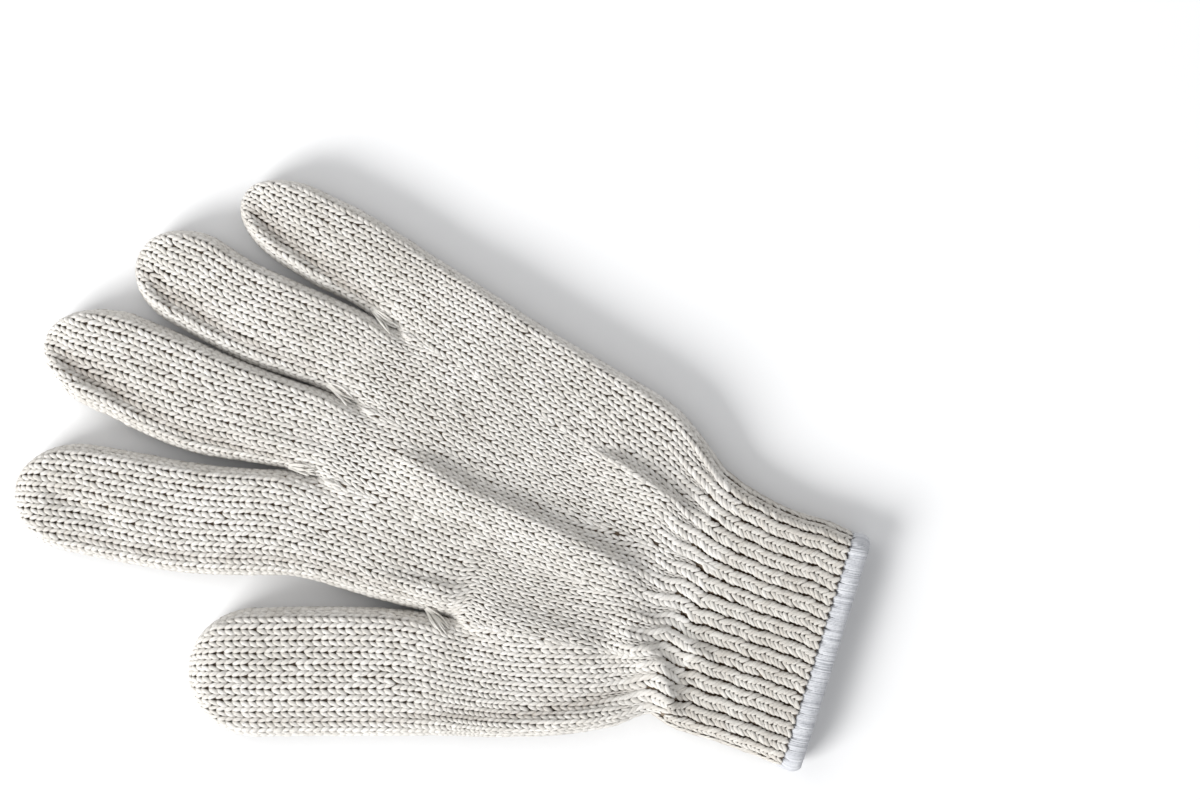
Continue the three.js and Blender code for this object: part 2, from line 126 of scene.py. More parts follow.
# Folds of the back. Each is a ridge with a rise, a half width on its thumb side and one on its
# little finger side, a fading length, and a path that runs towards the cuff. The last is a hollow.
folds = [
    (4.3, 9.0, 3.1, 18, [(14, 22), (12.3, 4.5), (10.3, -7.5), (10, -18.7), (8.5, -34.3), (6.7, -49.9),
                         (5.1, -58), (4.1, -69.5)]),
    (3.2, 7.5, 1.5, 14, [(32.5, -31.5), (33.4, -38), (33.6, -44.5), (32.1, -51.9), (29.6, -59.5),
                         (27.6, -66.2), (26, -74)]),
    (2.3, 5.0, 2.5, 9, [(-23, 16), (-20.7, 3.7), (-18.7, -6.8), (-17.4, -18)]),
    (2.2, 9.0, 4.6, 16, [(-20.5, -14), (-19.7, -37.1), (-19, -52), (-15.6, -66)]),
    (3.4, 6.0, 2.9, 8, [(-12.5, -58), (-14.1, -70.9), (-17.4, -76.2), (-22.7, -80.2), (-27.7, -83),
                        (-33, -86)]),
    (1.8, 4.5, 2.4, 8, [(-7, -58), (-7.6, -70), (-8.2, -77.8), (-10.1, -85.9), (-14, -93)]),
    (1.5, 5.0, 2.4, 8, [(3.2, 62), (4.4, 55), (6.2, 43.6), (7.6, 32)]),
    (-1.8, 3.6, 3.6, 9, [(-29.7, 112), (-31, 100), (-32.2, 90), (-33, 80)]),
]

# Ribs of the cuff, whose valleys run on into the hand for a short way, each for a length of its own
ribs_per_face = 18
rib_depth = 0.65
rib_reach, uneven_reach = 17, 6
edge_cover = 0.3  # the outermost rib spreads over the edge by this share of its width

rng = np.random.default_rng(7)


def smooth(value):
    value = np.clip(value, 0, 1)
    return value * value * (3 - 2 * value)


def quarter_round(share):
    return np.sqrt(1 - (1 - np.clip(share, 0, 1)) ** 2)


def mix(a, b, share):
    return a * (1 - share) + b * share


def smooth_line(places):
    """A smooth curve through places, read at 0 for the first one, 1 for the second and so on."""
    places = np.array(places, float)
    led = np.vstack([2 * places[0] - places[1], places, 2 * places[-1] - places[-2]])

    def at(where):
        where = np.clip(np.asarray(where, float), 0, len(places) - 1)
        k = np.minimum(where.astype(int), len(places) - 2)
        t = (where - k)[..., None]
        p = [led[k + i] for i in range(4)]
        d = [np.sqrt(np.linalg.norm(p[i + 1] - p[i], axis=-1))[..., None] for i in range(3)]
        start = ((p[1] - p[0]) / d[0] - (p[2] - p[0]) / (d[0] + d[1]) + (p[2] - p[1]) / d[1]) * d[1]
        stop = ((p[2] - p[1]) / d[1] - (p[3] - p[1]) / (d[1] + d[2]) + (p[3] - p[2]) / d[2]) * d[1]
        return (p[1] + start * t + (3 * p[2] - 3 * p[1] - 2 * start - stop) * t ** 2
                + (2 * p[1] - 2 * p[2] + start + stop) * t ** 3)
    return at


seam_lines = {name: (first, smooth_line(places)) for name, (first, places) in seam_places.items()}


def seam_point(name, station):
    first, line = seam_lines[name]
    return line(np.asarray(station, float) - first)


def walked_along(points):
    """The distance along a line of points, at each of them."""
    return np.concatenate([[0], np.cumsum(np.linalg.norm(np.diff(points, axis=0), axis=1))])


def fold_height(x, y):
    height = np.zeros_like(x)
    for rise, thumb_side, far_side, fade, path in folds:
        path = np.array(path, float)
        walked = walked_along(path)
        nearest = np.full_like(x, 1e9)
        along = np.zeros_like(x)
        width = np.full_like(x, thumb_side)
        for k, length in enumerate(np.linalg.norm(np.diff(path, axis=0), axis=1)):
            (ax, ay), (bx, by) = path[k], path[k + 1]
            share = np.clip(((x - ax) * (bx - ax) + (y - ay) * (by - ay)) / length ** 2, 0, 1)
            away = np.hypot(x - ax - share * (bx - ax), y - ay - share * (by - ay))
            closer = away < nearest
            nearest = np.where(closer, away, nearest)
            along = np.where(closer, walked[k] + share * length, along)
            past = (bx - ax) * (y - ay) - (by - ay) * (x - ax)
            width = np.where(closer, mix(thumb_side, far_side, smooth(0.5 + past / length)), width)
        taper = smooth(np.minimum(along, walked[-1] - along) / fade)
        height += rise * taper * np.exp(-(nearest / width) ** 2)
    return height


# The roll along the left edge rises by a share of the crease's depth, and its half width is a share
# of the crease's distance from the edge. The groove is steep towards the roll and soft beyond.
roll_rise, roll_width = 0.42, 0.3
groove_reach = (1.7, 5.5)
groove_end = 1.4  # the larger, the closer both run to the edge and the fingertip
wall_groove = 0.3  # in the wall behind the stitches the groove is deeper by this share
least_rise = 0.1  # of the back's rise, left at the bottom of a groove
tilt_peak = 0.096  # largest value of the curve that the tilt follows
outline_steps = 90


def face_grid(rows, face, columns, floor=0.0):
    """Points of one face of a tube, row by row, in equal steps along the girth of each row, and
    the girths. The floor is the height that the underside comes down to."""
    share = 0.5 - 0.5 * np.cos(np.pi * np.arange(outline_steps + 1) / outline_steps)[None, :]
    left, right = rows["left"], rows["right"]
    width = np.maximum(np.linalg.norm(right - left, axis=1), 1e-6)[:, None]
    left_corner, right_corner = [mix(corner, cuff_corner / width, rows["cuff_share"][:, None])
                                 for corner in corner_share[face]]
    round_left = 1 - rows["open_left"][:, None] * (1 - quarter_round(share / left_corner))
    round_right = 1 - rows["open_right"][:, None] * (1 - quarter_round((1 - share) / right_corner))
    plump = round_left * round_right * rows["plump"][:, None]
    x = mix(left[:, :1], right[:, :1], share)
    y = mix(left[:, 1:], right[:, 1:], share)
    if face == "back":
        leaning = rows["tilt"][:, None] * (2 * share - 1) * share * (1 - share) / tilt_peak
        z = edge_height + (rows["rise"][:, None] + fold_height(x, y) + leaning) * plump
        if "crease" in rows:
            place, depth, extra = [rows["crease"][:, k:k + 1] for k in range(3)]
            beyond = share * width - place
            rolled = roll_rise * depth * np.exp(-((beyond / place + 0.5) / roll_width) ** 2)
            groove = (depth + extra) * np.exp(-(beyond / np.where(beyond < 0, *groove_reach)) ** 2)
            z = z + (rolled - groove) * np.minimum(1, plump * groove_end)
            z = np.maximum(z, edge_height + least_rise * rows["rise"][:, None] * plump)
    else:
        z = edge_height - (edge_height - floor) * plump
    outline = np.stack([x, y, z], axis=2)
    steps = np.linalg.norm(np.diff(outline, axis=1), axis=2)
    girth = np.concatenate([np.zeros((len(x), 1)), np.cumsum(steps, axis=1)], axis=1)
    grid = np.empty((len(x), columns + 1, 3))
    for k in range(len(x)):
        reach = np.linspace(0, girth[k, -1], columns + 1)
        for axis in range(3):
            grid[k, :, axis] = np.interp(reach, girth[k], outline[k, :, axis])
    return grid, girth[:, -1]


def crease_at(digit, from_tip, inset):
    """Place and depth of the crease, and how much deeper it is in the wall."""
    table = np.array(digit["crease"], float)
    place, depth = [np.interp(from_tip, table[:, 0], table[:, k]) for k in (1, 2)]
    return np.stack([place, depth, depth * (wall_groove if inset else 0)], axis=1)


def unit(ways):
    """The same directions with length one."""
    return ways / np.maximum(np.linalg.norm(ways, axis=-1, keepdims=True), 1e-9)


def finger_shape(digit):
    """Tip, direction from root to tip, length, and the line across the root."""
    root_left = seam_point(digit["left"], digit["root"])
    root_right = seam_point(digit["right"], digit["root"])
    root = (root_left + root_right) / 2
    tip = np.array(digit["tip"], float)
    reach = np.linalg.norm(tip - root)
    return tip, (tip - root) / reach, reach, root_right - root_left


# The cross-sections turn into the line of the root over this share of a finger, and the palm takes
# over from the finger within this many stations
root_turn, palm_blend = 0.4, 1.2


def finger_rows(digit, from_tip, inset):
    """Cross-sections of a thumb or finger at distances from its tip."""
    tip, axis, reach, chord = finger_shape(digit)
    chord_width = np.linalg.norm(chord)
    sideways = np.array([axis[1], -axis[0]])
    from_tip = np.asarray(from_tip, float)[:, None]
    blend = smooth((from_tip - reach * (1 - root_turn)) / (reach * root_turn))
    across = unit(mix(sideways, chord / chord_width, blend))
    shaft = smooth_line(digit["sections"] + [(reach, chord_width, 0)])
    course = shaft(np.linspace(0, len(digit["sections"]), 200))
    width, offset = [np.interp(from_tip, course[:, 0], course[:, k]) for k in (1, 2)]
    middle = tip - axis * from_tip + sideways * offset
    half = (width / 2 - inset) * quarter_round((from_tip - inset) / (digit["end"] - inset))
    ones = np.ones(len(from_tip))
    return dict(left=middle - across * half, right=middle + across * half,
                open_left=ones, open_right=ones, gather_left=0 * ones, gather_right=0 * ones,
                cuff_share=0 * ones, tilt=digit["tilt"] * ones, rise=ones * (digit["rise"] - inset),
                crease=crease_at(digit, from_tip[:, 0], inset),
                plump=quarter_round((from_tip[:, 0] - inset) / tip_depth))


def palm_rows(digit, station, inset, web):
    """Cross-sections of the strip below a thumb or finger, down to the wrist."""
    station = np.asarray(station, float)
    ones = np.ones(len(station))
    rows, drawn_in = {}, {}
    for side in ("left", "right"):
        rows[side], rows["open_" + side] = seam_point(digit[side], station), ones
        rows["gather_" + side], drawn_in[side] = 0 * ones, ones
        if digit[side] in seam_closes:
            close = seam_closes[digit[side]]
            beyond = (station - close - web[close]) * station_pitch
            rows["open_" + side] = 1 - smooth(beyond / crease_length)
            rows["gather_" + side] = smooth(beyond / gather_length)
            drawn_in[side] = np.clip(-beyond / web_flare, 0, 1)
    past_root = np.linalg.norm(rows["left"] - seam_point(digit["left"], digit["root"]), axis=1)
    over = unit(rows["right"] - rows["left"])
    rows["left"] = rows["left"] + over * (drawn_in["left"] * inset)[:, None]
    rows["right"] = rows["right"] - over * (drawn_in["right"] * inset)[:, None]
    palm_share = smooth((station - base) / palm_blend)
    cuff_share = smooth((station - palm_station) / (wrist - palm_station))
    rise = mix(mix(digit["rise"], palm_rise, palm_share), cuff_rise, cuff_share)
    return dict(rows, crease=crease_at(digit, finger_shape(digit)[2] + past_root, inset),
                cuff_share=cuff_share, tilt=digit["tilt"] * (1 - palm_share), rise=rise - inset, plump=ones)


def strip_rows(digit, from_tip, station, inset, web):
    """Cross-sections of a finger and of the palm below it, from its tip down to the wrist."""
    upper, lower = finger_rows(digit, from_tip, inset), palm_rows(digit, station, inset, web)
    return {key: np.concatenate([upper[key], lower[key]]) for key in upper}


eased_rows = 1.52


def eased(grid, joint, passes):
    """Eases the bend where a finger runs into the palm, and leaves the seams where they are. It
    reaches further with the root of the passes."""
    rows, columns = grid.shape[:2]
    reach = (np.arange(rows) - joint) / (eased_rows * passes ** 0.5)
    share = np.linspace(0, 1, columns)
    weight = (np.exp(-reach ** 2)[:, None] * smooth(8 * share * (1 - share))[None, :])[1:-1, :, None]
    for _ in range(passes):
        grid[1:-1] += 0.5 * weight * ((grid[:-2] + grid[2:]) / 2 - grid[1:-1])
    return grid


def normals_of(grid):
    """Upward directions of a grid of points whose rows run towards the wrist."""
    return unit(np.cross(np.gradient(grid, axis=0), np.gradient(grid, axis=1)))


def rib_drop(ribs):
    """Depth of the surface below the crest of a rib, as a share, at a place counted in ribs."""
    valley = np.abs(2 * (ribs % 1) - 1)
    off_edge = smooth(2 * np.minimum(ribs, ribs_per_face - ribs))
    return off_edge * (1 - np.sqrt(np.maximum(1 - valley ** 5, 0)))


half_wale = 0.25  # in ribs, because two wales of the hand run into each rib
widest = 0.95  # at the wrist a wale on a rib is wider by this share of itself


def opened(ribs, fade):
    """Near the wrist every second wale sinks into a valley and the one between spreads over the
    whole rib. Returns the place so moved, and how much the wale has spread there."""
    middle = np.floor(ribs) + 0.5
    aside = np.abs(ribs - middle)
    widen = widest * fade
    on_rib = aside < half_wale
    wide = np.where(on_rib, aside * (1 + widen), half_wale * (1 + widen) + (aside - half_wale) * (1 - widen))
    return middle + np.sign(ribs - middle) * wide, np.where(on_rib, 1 + widen, 1 - widen)


def to_edge(ribs):
    """Spreads the outermost rib of each side over the edge, so that its stitches cover it."""
    over = np.clip(1 - ribs, 0, 1) - np.clip(ribs - ribs_per_face + 1, 0, 1)
    return ribs - edge_cover * over


def before_wrist(station):
    """How far a station lies before the wrist, along the ring seam."""
    return seam_point("ring seam", station)[:, 1] - seam_point("ring seam", wrist)[1]


# The courses of the palm are even, and lie closer in the last stretch before the wrist
palm_course, wrist_course, closer_from = 2.08, 1.38, 20


def half_courses(first, last):
    """Stations of the half courses between two stations of the hand."""
    fine = np.linspace(first, last, 400)
    course = np.interp(before_wrist(fine), (0, closer_from), (wrist_course, palm_course))
    counted = -np.diff(seam_point("ring seam", fine)[:, 1]) * 2 / (course[1:] + course[:-1])
    counted = np.concatenate([[0], np.cumsum(counted)])
    return np.interp(np.linspace(0, counted[-1], 2 * round(counted[-1]) + 1), counted, fine)


# Half courses from the finger bases to the thumb join and to the wrist, and some more past it, so
# that the last stitches reach the first ribs
upper_steps = half_courses(base, thumb_join)
palm_steps = np.concatenate([upper_steps, half_courses(thumb_join, wrist)[1:]])
spare_step, spare_count = 0.068, 14
spare_steps = wrist + spare_step * np.arange(1, spare_count + 1)
flat_web = {base: 0.0, thumb_join: 0.0}

# Where every strip begins and ends at the rows of the palm, as shares of the girth of the face
lower_steps = np.concatenate([palm_steps[palm_steps >= thumb_join - 1e-9], spare_steps])
strip_girths = {}
for face in both_faces:
    girths = [face_grid(palm_rows(digit, lower_steps, 0, flat_web), face, 2)[1]
              for digit in digits.values()]
    ends = np.cumsum([np.zeros(len(lower_steps))] + girths, axis=0)
    strip_girths[face] = {name: (ends[k] / ends[-1], ends[k + 1] / ends[-1]) for k, name in enumerate(digits)}


def strip_share(name, face, station):
    return [np.interp(station, lower_steps, edge) for edge in strip_girths[face][name]]


def rib_fade(ribs, to_wrist):
    """How much of a rib still shows before the wrist: each valley ends at its own place."""
    return 1 - smooth((to_wrist + 1) / (rib_reach + uneven_reach * np.sin(2.1 * np.floor(ribs + 0.5) + 1)))


# The painted shadow in a crease: its half width, how much wider it gets on the far side for each
# millimetre of depth, and its least darkness, the depth that would add one, and its most
shadow_width, shadow_spread = 0.5, 1.9
shadow_least, shadow_growth, shadow_most = 0.25, 5, 0.75


def ribbed(name, rows, grid, station, face, above):
    """Sinks the valleys of the ribs into the last rows of the hand. Also returns the painted shade at
    each place: as deep as it lies in a valley, and a painted shadow beside the crease of the rolled edge."""
    begin, end = [edge[:, None] for edge in strip_share(name, face, station)]
    ribs = mix(begin, end, np.linspace(0, 1, grid.shape[1])[None, :]) * ribs_per_face
    fade = rib_fade(ribs, before_wrist(station)[:, None]) * (station >= thumb_join)[:, None]
    drop = rib_drop(ribs) * fade
    valley = np.zeros(grid.shape[:2] + (1,))
    if face == "back":
        over = unit(rows["right"] - rows["left"])
        from_left = np.sum((grid[..., :2] - rows["left"][:, None]) * over[:, None], axis=2)
        past, depth = from_left - rows["crease"][:, :1], rows["crease"][:, 1:2]
        # painted shadow beside the crease, wider on its far side and darker the deeper the crease
        near = np.exp(-(past / np.where(past < 0, shadow_width, shadow_width + shadow_spread * depth)) ** 2)
        valley[..., 0] = near * np.clip(shadow_least + depth / shadow_growth, 0, shadow_most) * (depth > 0)
    last_rows = grid[above:]
    grid = grid.copy()
    grid[above:] = last_rows - normals_of(last_rows) * (drop * rib_depth)[..., None]
    valley[above:, :, 0] = np.maximum(valley[above:, :, 0], drop)
    return grid, valley


def strip_courses(digit):
    """Distances from the tip, and stations, of the half courses of a finger and its palm strip."""
    _, _, reach, _ = finger_shape(digit)
    fine = np.linspace(0, reach, 500)
    walked = walked_along(face_grid(finger_rows(digit, fine, 0), "back", 2)[0][:, 1])
    below = palm_steps[palm_steps >= digit["root"] - 1e-9]
    count = int((walked[-1] - 0.5) / (digit["course"] / 2))
    count -= (count + len(below) - 1) % 2
    lengths = walked[-1] - digit["course"] / 2 * np.arange(count, 0, -1)
    return np.interp(lengths, walked, fine), below


def between(grid, row, column):
    """Reads a grid of points at fractional rows and columns."""
    row = np.clip(row, 0, grid.shape[0] - 1.001)
    column = np.clip(column, 0, grid.shape[1] - 1.001)
    i, j = row.astype(int), column.astype(int)
    fi, fj = (row - i)[..., None], (column - j)[..., None]
    return mix(mix(grid[i, j], grid[i, j + 1], fj), mix(grid[i + 1, j], grid[i + 1, j + 1], fj), fi)


# One leg of a stitch is a short spindle of yarn. It comes up beside the middle of its wale on the
# tip side, leans outwards and dives under the next course on the cuff side. In a rib the courses
# are drawn together and the legs cross the middle.
leg_steps = np.array([0, 0.12, 0.36, 0.62, 0.88, 1])
leg_radius = np.array([0, 0.48, 0.60, 0.61, 0.48, 0])
leg_section = {
    "back": np.array([(-0.90, -0.42), (-0.82, 0.55), (0, 1), (0.82, 0.55), (0.90, -0.42)]),
    "underside": np.array([(-0.90, -0.40), (-0.55, 0.85), (0.55, 0.85), (0.90, -0.40)]),
}
leg_unevenness = (0.03, 0.05, 0.07, 0.05)  # of its place across and along, its size and its height

# How the legs of a stitch lie: where they begin and end across the wale and along the courses, the
# height of their ends and their arch in a wale of this pitch, the girth, flatness and curl of the
# yarn, and how much painted shade its ends, its flanks and the valley round it get
plain_stitch = dict(inner=0.035, outer=0.475, start=-0.64, length=1.66, sink=-0.34, arch=0.48, pitch=2.7,
                    girth=0.92, thick=0.9, ends=1.0, curl=0.0, shade=0.75, flank=0.6)
rib_stitch = dict(inner=-0.04, outer=0.43, start=-0.75, length=2.1, sink=-0.10, arch=0.10, pitch=2.9,
                  girth=1.1, thick=0.40, ends=0.25, curl=0.35, shade=0.75, flank=0.15)
# painted shade along a leg: darkest at its start beside the middle of the wale, less where it dives under
dark_ends = np.array([1.0, 0.3, 0.0, 0.0, 0.12, 0.4])
ridge_lightening, ridge_height = 0.5, 3  # on a fold so high the painted shade of the stitches is lighter by this share
size_limits, least_size = (0.5, 1.4), 0.3  # of a leg
pattern_shift = 40  # moves each yarn to a part of the fibre pattern of its own


def tube_faces(rings, sides):
    """Faces of a tube of yarn: a point at its start, then its rings, and a point at its end."""
    quads, tris = [], []
    for k in range(rings - 1):
        for s in range(sides):
            a, b = 1 + k * sides + s, 1 + k * sides + (s + 1) % sides
            quads.append((a, b, b + sides, a + sides))
    last = 1 + (rings - 1) * sides
    for s in range(sides):
        tris.append((0, 1 + (s + 1) % sides, 1 + s))
        tris.append((last + sides, last + s, last + (s + 1) % sides))
    return np.array(quads), np.array(tris)


def with_ends(rings, end):
    """Values for the points of such a tube, with one value for both of its end points."""
    return np.concatenate([[end], rings, [end]])


def yarn_marks(sunk, tone, length, around):
    """What the material of a yarn reads at each point: its painted shade, its tone, and the place along the
    yarn and round it."""
    return {"sunk": sunk, "tone": tone, "yarn": np.stack([length, around, tone * pattern_shift], axis=1)}


def rings_round(centre, aside, above, across, up):
    """Points round the centres of a yarn, at distances across it and up from it."""
    return (centre[..., None, :] + aside[..., None, :] * across[..., None]
            + above[..., None, :] * up[..., None])


def yarn_legs(grid, valley, courses, wales, place, face, fullness=1, dots=1):
    """Builds both legs of every stitch. place turns course and wale into a row and column of the
    grid, the width of the wale, whether the leg is kept, and how far it is drawn in as in a rib."""
    numbers = np.meshgrid(np.arange(courses) + 0.5, np.arange(wales) + 0.5, (-1.0, 1.0), indexing="ij")
    course, wale, side = [number.reshape(-1, 1) for number in numbers]
    count = len(course)
    step = leg_steps[None, :]
    drawn = place(course, wale)[4]
    style = {key: mix(plain_stitch[key], rib_stitch[key], drawn) for key in plain_stitch}
    leaning = mix(step ** 0.9, np.sin(np.pi / 2 * step), style["curl"])
    across = (style["inner"] + (style["outer"] - style["inner"]) * leaning) * side
    along = style["start"] + style["length"] * step ** (1 + 0.5 * style["curl"])
    uneven = rng.normal(0, 1, (count, 4)) * leg_unevenness
    across = across + uneven[:, :1]
    along = along + uneven[:, 1:2]
    row, column, pitch, kept, _ = place(course + along, wale + across)
    normal = unit(between(normals_of(grid), row, column))
    scale = np.clip(pitch / style["pitch"], *size_limits) * (1 + uneven[:, 2:3])
    upright = 0.4 + 0.6 * np.abs(normal[..., 2])
    height = style["sink"] + style["arch"] * upright * np.sin(np.pi * step) ** 0.8 + uneven[:, 3:]
    centre = between(grid, row, column) + normal * (height * scale)[..., None]
    aside = unit(np.cross(normal, unit(np.gradient(centre, axis=1))))
    radius = leg_radius[None, :] * scale * style["girth"] * fullness
    section = leg_section[face]
    sides = len(section)
    inner = slice(1, -1)
    flat = (radius * style["thick"])[:, inner, None] * section[:, 1]
    ring = rings_round(centre[:, inner], aside[:, inner], normal[:, inner],
                       radius[:, inner, None] * section[:, 0], flat)
    kept = kept.all(axis=1) & (scale[:, 2] > least_size)
    rings = ring.shape[1]
    points = np.concatenate([centre[:, :1], ring.reshape(count, -1, 3), centre[:, -1:]], axis=1)[kept]
    count = len(points)

    def on_rings(steps):
        """Values at the steps of a leg, given to all its points."""
        middle = np.repeat(steps[..., 1:-1], sides, axis=-1)
        return np.concatenate([steps[..., :1], middle, steps[..., -1:]], axis=-1)

    # painted shade of each point of a leg: at its ends, on its underside and flanks, scaled by dots, and in
    # the valleys and creases round it
    lows = with_ends(np.tile(np.clip(0.5 - 0.6 * section[:, 1], 0, 1), rings), 0)
    around = with_ends(np.tile(np.arange(sides) / (sides - 1), rings), 0.5)
    middle = centre[kept][:, 2]
    # painted light: high on a fold the painted shade of a leg is lighter
    ridge_shade_share = 1 - ridge_lightening * np.clip(fold_height(middle[:, :1], middle[:, 1:2]) / ridge_height, 0, 1)
    sunk = dots * ridge_shade_share * (on_rings(dark_ends) * style["ends"][kept] + lows * style["flank"][kept])
    deep = on_rings(between(valley, row, column)[..., 0][kept])
    tone = np.repeat(rng.uniform(0, 1, count), len(lows))
    marks = yarn_marks(np.clip(sunk + style["shade"][kept] * deep, 0, 1).ravel(), tone,
                       np.tile(on_rings(leg_steps), count), np.tile(around, count))
    quads, tris = tube_faces(rings, sides)
    shift = (np.arange(count) * len(lows))[:, None, None]
    return dict(points=points.reshape(-1, 3), quads=(quads + shift).reshape(-1, 4),
                tris=(tris + shift).reshape(-1, 3), marks=marks)


def put_together(parts):
    """One mesh from several, each with points, quads, tris and marks."""
    starts = np.cumsum([0] + [len(part["points"]) for part in parts])
    whole = {"points": np.concatenate([part["points"] for part in parts])}
    for kind in ("quads", "tris"):
        whole[kind] = np.concatenate([part[kind] + start for part, start in zip(parts, starts)])
    whole["marks"] = {key: np.concatenate([part["marks"][key] for part in parts])
                      for key in parts[0]["marks"]}
    return whole


def make_piece(name, part, material, node):
    """Makes the object, hangs it on the root body and hides the part of the model that it stands for."""
    mesh = bpy.data.meshes.new(name)
    points = part["points"] * mm
    mesh.vertices.add(len(points))
    mesh.vertices.foreach_set("co", points.astype(np.float32).ravel())
    quads, tris = part["quads"], part["tris"]
    corners = np.concatenate([quads.ravel(), tris.ravel()]).astype(np.int32)
    starts = np.concatenate([np.arange(len(quads)) * 4, len(quads) * 4 + np.arange(len(tris)) * 3])
    mesh.loops.add(len(corners))
    mesh.loops.foreach_set("vertex_index", corners)
    mesh.polygons.add(len(starts))
    mesh.polygons.foreach_set("loop_start", starts.astype(np.int32))
    mesh.polygons.foreach_set("use_smooth", np.ones(len(starts), bool))
    mesh.update(calc_edges=True)
    for key, values in part["marks"].items():
        kind, field = ("FLOAT_VECTOR", "vector") if values.ndim == 2 else ("FLOAT", "value")
        mark = mesh.attributes.new(key, kind, "POINT")
        mark.data.foreach_set(field, values.astype(np.float32).ravel())
    mesh.materials.append(material)
    piece = bpy.data.objects.new(name, mesh)
    bpy.context.scene.collection.objects.link(piece)
    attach(piece, "root")
    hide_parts(node)


def node_tree(name):
    """A new material and two short ways to fill it: add makes a node, from inputs in turn and then
    inputs or settings by name, and finish sets the shader. A node or output given as a value is
    joined, a node by the first of its outputs that is in use."""
    material = bpy.data.materials.new(name)
    material.use_nodes = True
    tree = material.node_tree

    def give(socket, value):
        if isinstance(value, bpy.types.Node):
            value = next(output for output in value.outputs if output.enabled)
        if isinstance(value, bpy.types.NodeSocket):
            tree.links.new(value, socket)
        else:
            socket.default_value = value

    def add(kind, *inputs, **named):
        node = tree.nodes.new(kind)
        for key, value in named.items():
            if key in node.inputs:
                give(node.inputs[key], value)
            else:
                setattr(node, key, value)
        for socket, value in zip(node.inputs, inputs):
            give(socket, value)
        return node

    def finish(inputs):
        for key, value in inputs.items():
            give(tree.nodes["Principled BSDF"].inputs[key], value)

    return material, add, finish


def cotton_yarn(name, light, dark, shade_colour):
    """Carded cotton yarn with fibres along it: pale crests, and a brown painted shade where the yarn dives
    under, on its underside and in the valleys and creases.
    """
    material, add, finish = node_tree(name)
    yarn, tone, sunk = [add("ShaderNodeAttribute", attribute_name=mark).outputs[kind] for mark, kind in
                        (("yarn", "Vector"), ("tone", "Fac"), ("sunk", "Fac"))]
    place = add("ShaderNodeTexCoord").outputs["Object"]
    stretch = add("ShaderNodeVectorMath", yarn, (1.6, 7.0, 1.0), operation="MULTIPLY")
    fibre = add("ShaderNodeTexNoise", Vector=stretch, Scale=1.4, Detail=3.0, Roughness=0.65)
    mottle = add("ShaderNodeTexNoise", Vector=place, Scale=42.0, Detail=3.0, Roughness=0.6)
    speck = add("ShaderNodeTexNoise", Vector=place, Scale=2600.0, Detail=2.0, Roughness=0.7)
    blend = add("ShaderNodeMath", tone, 0.45, mottle, operation="MULTIPLY_ADD")
    streaks = add("ShaderNodeMath", fibre, 0.7, blend, operation="MULTIPLY_ADD")
    grade = add("ShaderNodeMapRange", streaks, 0.65, 1.45)
    body = add("ShaderNodeMix", data_type="RGBA", A=(*dark, 1), B=(*light, 1), Factor=grade)
    # painted shade: the shade colour is mixed in as the sunk mark rises
    depth = add("ShaderNodeMath", sunk, 1.6, operation="POWER")
    whole = add("ShaderNodeMix", data_type="RGBA", A=body, B=(*shade_colour, 1), Factor=depth)
    relief = add("ShaderNodeMath", fibre, 1.6, speck, operation="MULTIPLY_ADD")
    bump = add("ShaderNodeBump", Strength=0.8, Distance=0.00022, Height=relief)
    finish({"Base Color": whole, "Normal": bump, "Roughness": 0.95, "Specular IOR Level": 0.15,
            "Sheen Weight": 0.2, "Sheen Roughness": 0.6})
    return material


def cloth_ground(name, pale, deep):
    """The loops behind the visible legs, seen only as dark gaps and inside the cuff. Both of their browns are
    painted shade.
    """
    material, add, finish = node_tree(name)
    place = add("ShaderNodeTexCoord").outputs["Object"]
    sunk = add("ShaderNodeAttribute", attribute_name="sunk").outputs["Fac"]
    loops = add("ShaderNodeTexNoise", Vector=place, Scale=700.0, Detail=3.0, Roughness=0.6)
    amount = add("ShaderNodeMath", loops, 0.5, sunk, operation="MULTIPLY_ADD", use_clamp=True)
    body = add("ShaderNodeMix", data_type="RGBA", A=(*pale, 1), B=(*deep, 1), Factor=amount)
    bump = add("ShaderNodeBump", Strength=0.6, Distance=0.0003, Height=loops)
    finish({"Base Color": body, "Normal": bump, "Roughness": 1.0, "Specular IOR Level": 0.1})
    return material


# painted shade: the last colour of a yarn is the brown of its painted shade
cream_yarn = cotton_yarn("cream_cotton_yarn", (0.84, 0.815, 0.775), (0.62, 0.59, 0.54), (0.19, 0.145, 0.105))
# painted shade: the wall behind the stitches is all brown, darkest in the valleys
hand_ground = cloth_ground("painted_shade_behind_the_stitches", (0.24, 0.185, 0.135), (0.07, 0.045, 0.028))

weld = 0.002
no_tris = np.zeros((0, 3), int)


def cloth_shell(sheets):
    """A thin wall that closes on itself, from sheets of points, each with whether it is turned and its
    painted shade. Points closer than the weld become one."""
    parts = []
    for grid, turned, shade in sheets:
        number = np.arange(grid[..., 0].size).reshape(grid.shape[:2])
        a, b, c, d = number[:-1, :-1], number[1:, :-1], number[1:, 1:], number[:-1, 1:]
        faces = np.stack([a, d, c, b] if turned else [a, b, c, d], axis=2)
        parts.append(dict(points=grid.reshape(-1, 3), quads=faces.reshape(-1, 4), tris=no_tris,
                          marks={"sunk": np.broadcast_to(shade, number.shape).ravel()}))
    whole = put_together(parts)
    keys = np.round(whole["points"] / weld).astype(np.int64)
    _, first, same = np.unique(keys, axis=0, return_index=True, return_inverse=True)
    quads = same.ravel()[whole["quads"]]
    corners = np.array([len(set(face)) for face in quads.tolist()])
    tris = [[corner for k, corner in enumerate(face) if corner != face[k - 1]]
            for face in quads[corners == 3].tolist()]
    return dict(points=whole["points"][first], quads=quads[corners == 4],
                tris=np.array(tris, int).reshape(-1, 3), marks={"sunk": whole["marks"]["sunk"][first]})
